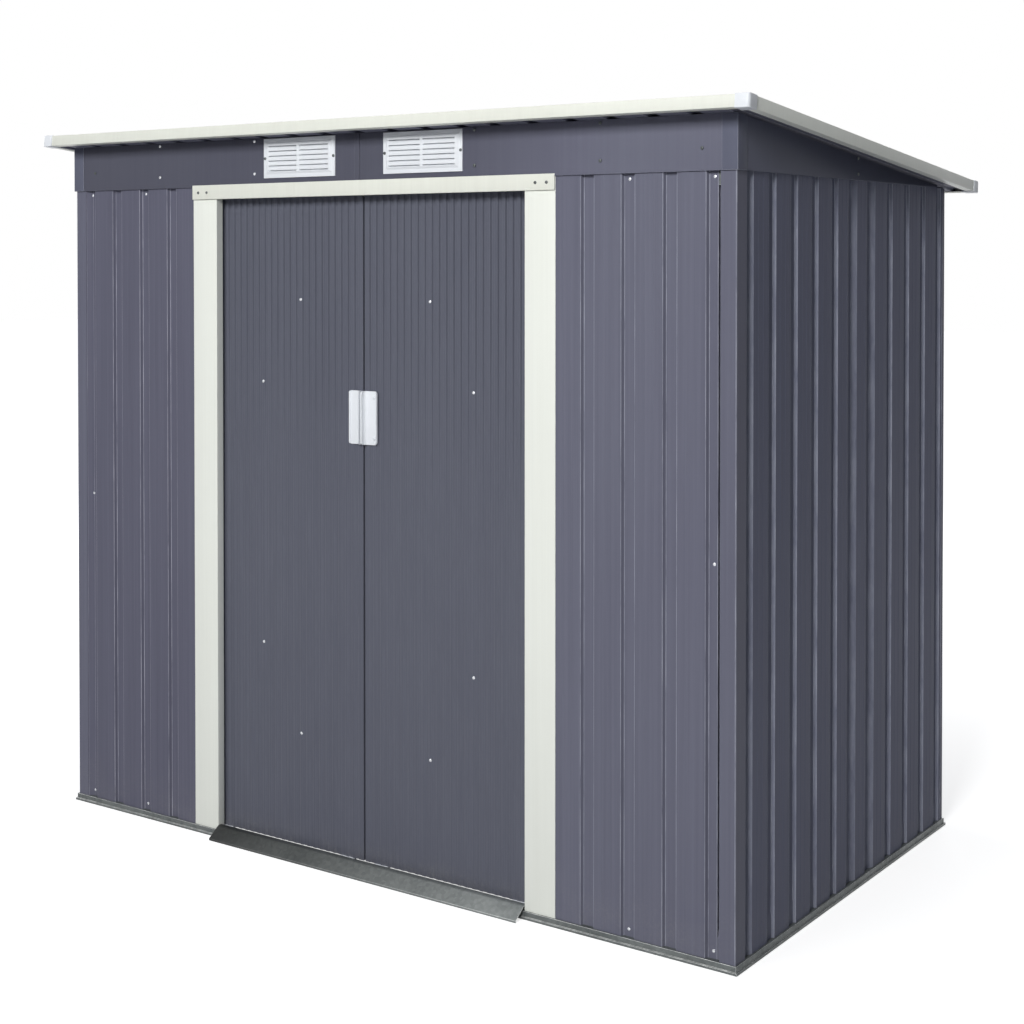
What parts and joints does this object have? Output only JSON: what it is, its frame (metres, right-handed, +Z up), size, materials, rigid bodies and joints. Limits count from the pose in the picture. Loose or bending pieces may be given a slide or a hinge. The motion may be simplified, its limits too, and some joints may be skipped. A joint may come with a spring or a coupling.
{
  "type": "metal storage shed",
  "caption": "Hollow garden shed of rolled steel sheet with a single slope roof, a framed doorway with a ramp, fascia vents and sliding ribbed doors on tracks.",
  "frame": {"origin": "on the ground under the middle of the roof", "axes": "+X along the front to the right as seen from outside, +Y from the doors to the back, +Z up"},
  "size_m": [2.13, 1.3, 1.8105],
  "materials": {
    "slate_paint": "satin slate grey coil coating",
    "cream_paint": "satin cream coil coating",
    "galvanised": "dull zinc coated steel",
    "white_plastic": "satin moulded white plastic"
  },
  "bodies": {
    "building": {"front_floor_rail": "galvanised", "back_floor_rail": "galvanised", "left_floor_rail": "galvanised", "right_floor_rail": "galvanised", "threshold_ramp": "galvanised", "lower_door_track": "galvanised", "upper_door_track": "galvanised", "front_left_wall": "slate_paint", "front_right_wall": "slate_paint", "left_wall": "slate_paint", "right_wall": "slate_paint", "back_wall": "slate_paint", "front_left_post": "slate_paint", "front_right_post": "slate_paint", "back_left_post": "slate_paint", "back_right_post": "slate_paint", "left_jamb": "cream_paint", "right_jamb": "cream_paint", "door_header": "cream_paint", "front_left_fascia": "slate_paint", "front_right_fascia": "slate_paint", "fascia_corners": "slate_paint", "left_gable": "slate_paint", "right_gable": "slate_paint", "left_vent": "white_plastic", "right_vent": "white_plastic", "roof_sheets": "slate_paint", "roof_beams": "galvanised", "front_roof_trim": "cream_paint", "back_roof_trim": "cream_paint", "left_roof_trim": "cream_paint", "right_roof_trim": "cream_paint", "roof_corner_caps": "white_plastic"},
    "left_door": {"left_door_panel": "slate_paint", "left_door_channels": "galvanised", "left_door_braces": "galvanised", "left_door_handle": "white_plastic", "left_door_runners": "white_plastic"},
    "right_door": {"right_door_panel": "slate_paint", "right_door_channels": "galvanised", "right_door_braces": "galvanised", "right_door_handle": "white_plastic", "right_door_runners": "white_plastic"}
  },
  "joints": [
    {"name": "left_door_slide", "type": "slide", "parent": "building", "child": "left_door", "axis": [-1, 0, 0], "range_m": [0, 0.413]},
    {"name": "right_door_slide", "type": "slide", "parent": "building", "child": "right_door", "axis": [1, 0, 0], "range_m": [0, 0.441]}
  ]
}
